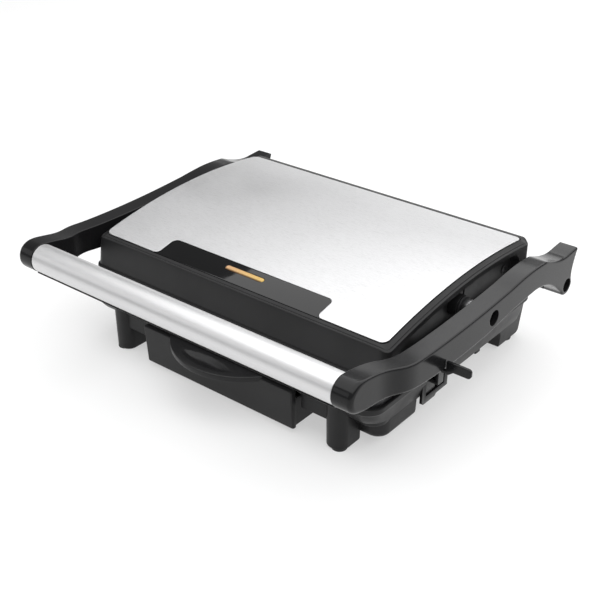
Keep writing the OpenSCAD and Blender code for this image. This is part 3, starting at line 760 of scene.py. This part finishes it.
def make_arms():
    outline = arm_outline()
    # The outer edge is rounder at the nose than along the rest of the arm
    outer_edge = [1.7 + 1.9 * smooth((-141 - y) / 13) for y, z in outline]
    inner_edge, support, step = 0.8, 0.6, (3.5, 6)
    turn = quarter(4)
    for side, name in ((1, "right_arm"), (-1, "left_arm")):
        s = Solid()

        def place(y, z, x):
            return (side * (x - jog(y)), y, z)

        def depth_row(x, d):
            return [place(y, z, x) for y, z in inset(outline, d)]

        face_in = inner_edge + support
        face_out = [b + support for b in outer_edge]
        rows = [depth_row(ARM_IN, face_in)]
        rows += [depth_row(ARM_IN + inner_edge * along, inner_edge * inward) for inward, along in turn]
        for inward, along in reversed(turn):
            loop = inset(outline, [b * inward for b in outer_edge])
            rows.append([place(y, z, ARM_OUT - b * along) for (y, z), b in zip(loop, outer_edge)])
        rows.append(depth_row(ARM_OUT, face_out))
        s.loft(rows, low=False, high=False)
        s.cap(inset(outline, face_in), [], lambda y, z: place(y, z, ARM_IN), step)
        # Blind holes over the lid pivot and the hinge pin
        mouths = []
        for centre, r in ((PIVOT, 6.6), (HINGE, 6.2)):
            mouths.append(circle(*centre, r + 1.0))
            s.loft([[place(y, z, ARM_OUT - depth) for y, z in circle(*centre, r + wider)]
                    for wider, depth in ((1.0, 0), (0.45, 0), (0.12, 0.12), (0, 0.45), (0, 7.5))],
                   low=False, high=True)
        s.cap(inset(outline, face_out), mouths, lambda y, z: place(y, z, ARM_OUT), step)
        s.make(name + "_body", "arms", "arm_plastic", (name,), sharp=26)
    make_channel_covers()


def make_channel_covers():
    """Snap-in covers over the two channels under each arm. They follow its lower edge."""
    c = Solid()
    under = sorted(LOWER_EDGE)
    mid = (ARM_IN + ARM_OUT) / 2

    def low_z(y):
        for (y0, z0), (y1, z1) in zip(under, under[1:]):
            if y0 <= y <= y1:
                return z0 + (z1 - z0) * (y - y0) / max(1e-9, y1 - y0)
        return under[0][1]

    parts = 18
    for side in (1, -1):
        for y0, y1 in ((-83.9, 2.9), (31.1, 85.9)):
            rows = []
            for i in range(parts + 1):
                y = y0 + (y1 - y0) * i / parts
                half = 6.0 if 0 < i < parts else 5.4
                cross = [(-half, 1.6), (-half, 0.0), (-half + 0.4, -0.35),
                         (half - 0.4, -0.35), (half, 0.0), (half, 1.6)]
                rows.append([(side * (mid + a - jog(y)), y, low_z(y) + b) for a, b in cross])
            c.loft(rows)
    c.make("channel_covers", "arms", "arm_plastic", ("arm_covers",))


def make_handle():
    half = mm_box("handle_tube")[1][0]
    r = 12.2
    parts = 12
    ends = ((0, 0.5), (0.15, 0.15), (0.5, 0))
    spans = [(-half + in_by, r - less) for in_by, less in ends]
    spans += [(-half + 0.5 + (2 * half - 1) * i / parts, r) for i in range(1, parts)]
    spans += [(half - in_by, r - less) for in_by, less in reversed(ends)]
    s = Solid()
    s.loft([[(x, y, z) for y, z in circle(*HANDLE, rr, 96)] for x, rr in spans])
    s.make("steel_handle", "arms", "tube_steel", ("handle_tube",), sharp=40)


# ---------------------------------------------------------------- base

def base_ring(half, y0, y1, rf, z, rb=12):
    return ring(rrect(-half, half, y0, y1, rf, rb, n=10, nx=2, ny=12), z)


def make_base():
    # Rim, flare and side walls in one moulding
    s = Solid()
    s.loft([
        base_ring(151.5, -101.5, 126, 13, 45, 10), base_ring(151.5, -101.5, 126, 13, 49.6, 10),
        base_ring(152.0, -102.0, 126.5, 13.5, 50.0, 10), base_ring(156.2, -106.2, 137.2, 15, 50.0),
        base_ring(156.8, -106.8, 137.8, 15.6, 49.7), base_ring(157.0, -107.0, 138.0, 15.8, 49.0),
        base_ring(157.0, -107.0, 138.0, 15.8, 46.0), base_ring(156.7, -106.7, 137.8, 15.6, 45.3),
        base_ring(156.0, -106.2, 137.3, 15.0, 44.4), base_ring(155.2, -105.4, 137.0, 14.0, 43.9),
        base_ring(154.4, -104.7, 136.8, 13.2, 42.4), base_ring(153.2, -102.8, 136.6, 12.2, 38.5),
        base_ring(152.0, -98.5, 136.4, 12.0, 33.0), base_ring(151.0, -93.0, 136.2, 12.6, 29.2),
        base_ring(150.6, -90.0, 136.1, 13.8, 28.2), base_ring(149.6, -89.6, 135.6, 13.4, 24.2),
        base_ring(148.9, -89.0, 135.2, 13.0, 23.2), base_ring(148.0, -88.0, 134.6, 12.4, 23.0),
    ])
    body = s.make("base_shell", "base", "housing_plastic", ("lower_housing",), sharp=26)
    # Hollowed for the tray, its front, the heater, the bottom cover and the lock guide
    hollows = []
    for loop, z0, z1, edge in (
            (rrect(-84.5, 84.5, -140, 18, 1.5, n=3), -5, 33, 0.4),
            (rrect(-83, 83, -140, -94, 1.5, n=3), -5, 41, 0.4),
            (rrect(-146, 146, -86, 124, 12, n=6), 36, 80, 0.5),
            (rrect(-83.8, 83.8, 22.2, 134.8, 2, n=3), 10, 24.6, 0.3),
            (rrect(144, 162, -27, 0, 0.8, n=3), 23.5, 40.4, 0.3)):
        hollows.append(Solid())
        slab(hollows[-1], loop, z0, z1, edge)
    cut(body, hollows, 26)
    d = Solid()
    for side in (1, -1):
        def mirrored(points):
            pts = [(side * x, y) for x, y in points]
            return pts if side > 0 else list(reversed(pts))
        # Round-cornered pod at the front corner, drafted and well rounded below
        top = rrect(97.5, 150.2, -85.0, -31.6, 12.5, 5.5, n=8)
        bottom = rrect(99.5, 149.8, -83.4, -32.0, 12.0, 5.5, n=8)
        drafted(d, mirrored(bottom), mirrored(top), 9.0, 33.0, 5.0)
        # Front leg: round in front, flat behind
        leg_top = rrect(108.4, 128.6, -105.4, -78.6, 8.8, 3.4, n=8)
        leg_low = rrect(108.8, 128.2, -105.0, -79.0, 8.6, 3.4, n=8)
        drafted(d, mirrored(leg_low), mirrored(leg_top), 0.5, 45.0, 2.4)
        # Web between the leg and the tray's bay
        slab(d, mirrored(rrect(84.6, 114, -101.4, -82, 1.0, n=3)), 23.5, 45.0, 0.6)
        # Rear leg with an arch in front of it. Its outer face leans out towards the top
        profile = ([(142.0, 44.0), (97, 44.0)]
                   + bez((97, 23.2), (103, 23.4), (106, 16), (106.6, 3.2), 12)
                   + [(106.9, 2.3), (107.6, 2.0)] + arc(138.0, 6.0, 4.0, -90, 0, 6))
        rows = [[(side * x, y, z) for y, z in inset(profile, k)] for x, k in ((128.0, 0.7), (128.4, 0))]
        for back, k in ((0.8, 0), (0.25, 0.25), (0, 0.8)):
            rows.append([(side * (144.2 - back + 4.2 * min(1, max(0, (z - 2) / 31))), y, z)
                         for y, z in inset(profile, k)])
        d.loft(rows)
        # Hinge lug: a web on the rear wall, and the barrel it carries
        web = [(129.0, 43.0), (138.0, 43.0)] + arc(*HINGE, 9.0, -35, 160, 28) + [(129.0, 50.5)]
        sideways(d, side, web, ((138.2, 0.6), (138.4, 0.2), (138.8, 0), (149.2, 0), (149.6, 0.2),
                                (149.8, 0.6)))
        boss(d, side, HINGE, ((8.6, 138.0), (9.25, 138.25), (9.5, 138.9), (9.5, 164.5), (9.25, 165.1),
                              (8.6, 165.4)))
        # Small bump under the side wall
        slab(d, mirrored(rrect(141, 149.0, 57, 65, 1.5, n=3)), 20.4, 25.0, 0.6)
    d.make("base_details", "base", "housing_plastic", sharp=26)


def make_tray():
    s = Solid()
    half, foot, front, back = 82.0, 4.0, -107.5, -103.6

    def front_loop(z, k):
        """The front's outline at a height. It leans out towards its top."""
        lean = 2.5 * (z - foot) / 36
        return rrect(-half + k, half - k, front - lean + k, back - k * 0.2, 1.6, 0.8, n=5, nx=24)

    s.loft([ring(front_loop(z, k), z) for z, k in (
        (foot, 0.9), (4.25, 0.35), (4.9, 0.0), (13, 0), (22, 0), (31, 0), (39.2, 0), (39.8, 0.3),
        (40.0, 0.8))])
    s.make("tray_front", "tray", "tray_plastic", ("drip_tray",), sharp=30)
    p = Solid()
    slab(p, rrect(-80, 80, -105.6, 10.5, 3.0, n=5), foot, 31.0, 0.8)
    pan = p.make("tray_pan", "tray", "tray_plastic", sharp=30)
    hollow = Solid()
    slab(hollow, rrect(-78, 78, -104.4, 8.5, 3.0, n=5), 6.0, 60, 1.6)
    cut(pan, [hollow], 30)
    # Runners along the pan's sides
    r = Solid()
    for side in (1, -1):
        slab(r, rrect(*sorted((side * 79.0, side * 83.4)), -92, 10.2, 0.6, n=2), 25.0, 27.0, 0.4)
    # Half-moon pull: rim, rounded edge, dished top
    shelf_r, reach, top = 64.0, 25.0, 42.0
    cy = -108.5 - reach + shelf_r

    def moon(k):
        a = math.degrees(math.acos((cy + 108.0) / (shelf_r - k)))
        return arc(0, cy, shelf_r - k, -90 - a, -90 + a, 40)

    r.loft([ring(moon(k), z) for k, z in (
        (5.0, 37.0), (1.2, 37.0), (0.35, 37.35), (0.0, 38.1), (0.0, 41.0), (0.3, 41.7), (0.9, top),
        (1.6, top))], high=False)
    tip, ridge = (28, -118.5), -109.5
    leaf = (bez((-tip[0], tip[1]), (-20, -131), (20, -131), tip, 24)
            + bez(tip, (14, ridge), (-14, ridge), (-tip[0], tip[1]), 24))
    r.cap(moon(1.6), [list(reversed(leaf))], lambda x, y: (x, y, top), (5, 5))
    r.cap(leaf, [], lambda x, y: (x, y, top - 2.4 * smooth(margin((x, y), leaf) / 7)), (2, 1.5))
    r.make("tray_pull", "tray", "tray_plastic", sharp=40)


# ---------------------------------------------------------------- floor, light, camera

def make_stage():
    me = bpy.data.meshes.new("floor")
    far = 6
    me.from_pydata([(-far, -far, 0), (far, -far, 0), (far, far, 0), (-far, far, 0)], [], [(0, 1, 2, 3)])
    floor = bpy.data.objects.new("floor", me)
    bpy.context.scene.collection.objects.link(floor)
    mat, tree, shader = node_material("floor_paint")
    at = coords(tree, (1, 1, 1))
    tree.links.new(tint(tree, noise(tree, at, 3, 2), (0.40, 0.40, 0.40), (0.42, 0.42, 0.42)),
                   shader.inputs["Base Color"])
    shader.inputs["Roughness"].default_value = 0.9
    shader.inputs["Specular IOR Level"].default_value = 0.1
    shader.inputs["Emission Color"].default_value = (1, 1, 1, 1)
    shader.inputs["Emission Strength"].default_value = 0.5
    me.materials.append(mat)

    world = bpy.data.worlds.new("studio")
    world.use_nodes = True
    world.node_tree.nodes["Background"].inputs["Color"].default_value = (1, 1, 1, 1)
    world.node_tree.nodes["Background"].inputs["Strength"].default_value = 0.24
    bpy.context.scene.world = world

    def softbox(name, at, target, size, power):
        light = bpy.data.lights.new(name, "AREA")
        light.shape = "RECTANGLE"
        light.size, light.size_y = size
        light.energy = power
        ob = bpy.data.objects.new(name, light)
        ob.location = at
        ob.rotation_euler = (Vector(target) - Vector(at)).to_track_quat("-Z", "Y").to_euler()
        bpy.context.scene.collection.objects.link(ob)

    # One wide ceiling light, its left edge 1.31 m left of the object
    softbox("overhead", at=(0.54, 0.9, 1.6), target=(0.54, 0.9, 0), size=(3.7, 5.0), power=122)
    # Low behind the grill, to give the gloss of the arms' tops something to mirror
    softbox("backdrop", at=(-1.6, 4.4, 0.7), target=(-0.6, 0, 0.4), size=(5.2, 1.4), power=25)
    softbox("front_left", at=(-1.5, -1.7, 0.95), target=(0, -0.1, 0.1), size=(2.6, 0.9), power=6.5)

    camera = bpy.data.cameras.new("camera")
    camera.lens = 64.66
    camera.sensor_width = 36.0
    camera.clip_start = 0.01
    ob = bpy.data.objects.new("camera", camera)
    ob.location = (0.52285, -0.64469, 0.5117)
    ob.rotation_euler = (Vector((0.002, 0.0, 0.047)) - ob.location).to_track_quat("-Z", "Y").to_euler()
    bpy.context.scene.collection.objects.link(ob)
    bpy.context.scene.camera = ob
    bpy.context.scene.view_settings.view_transform = "Standard"


make_stage()
dress_nodes()
make_lid()
make_cover()
make_arms()
make_handle()
make_base()
make_tray()
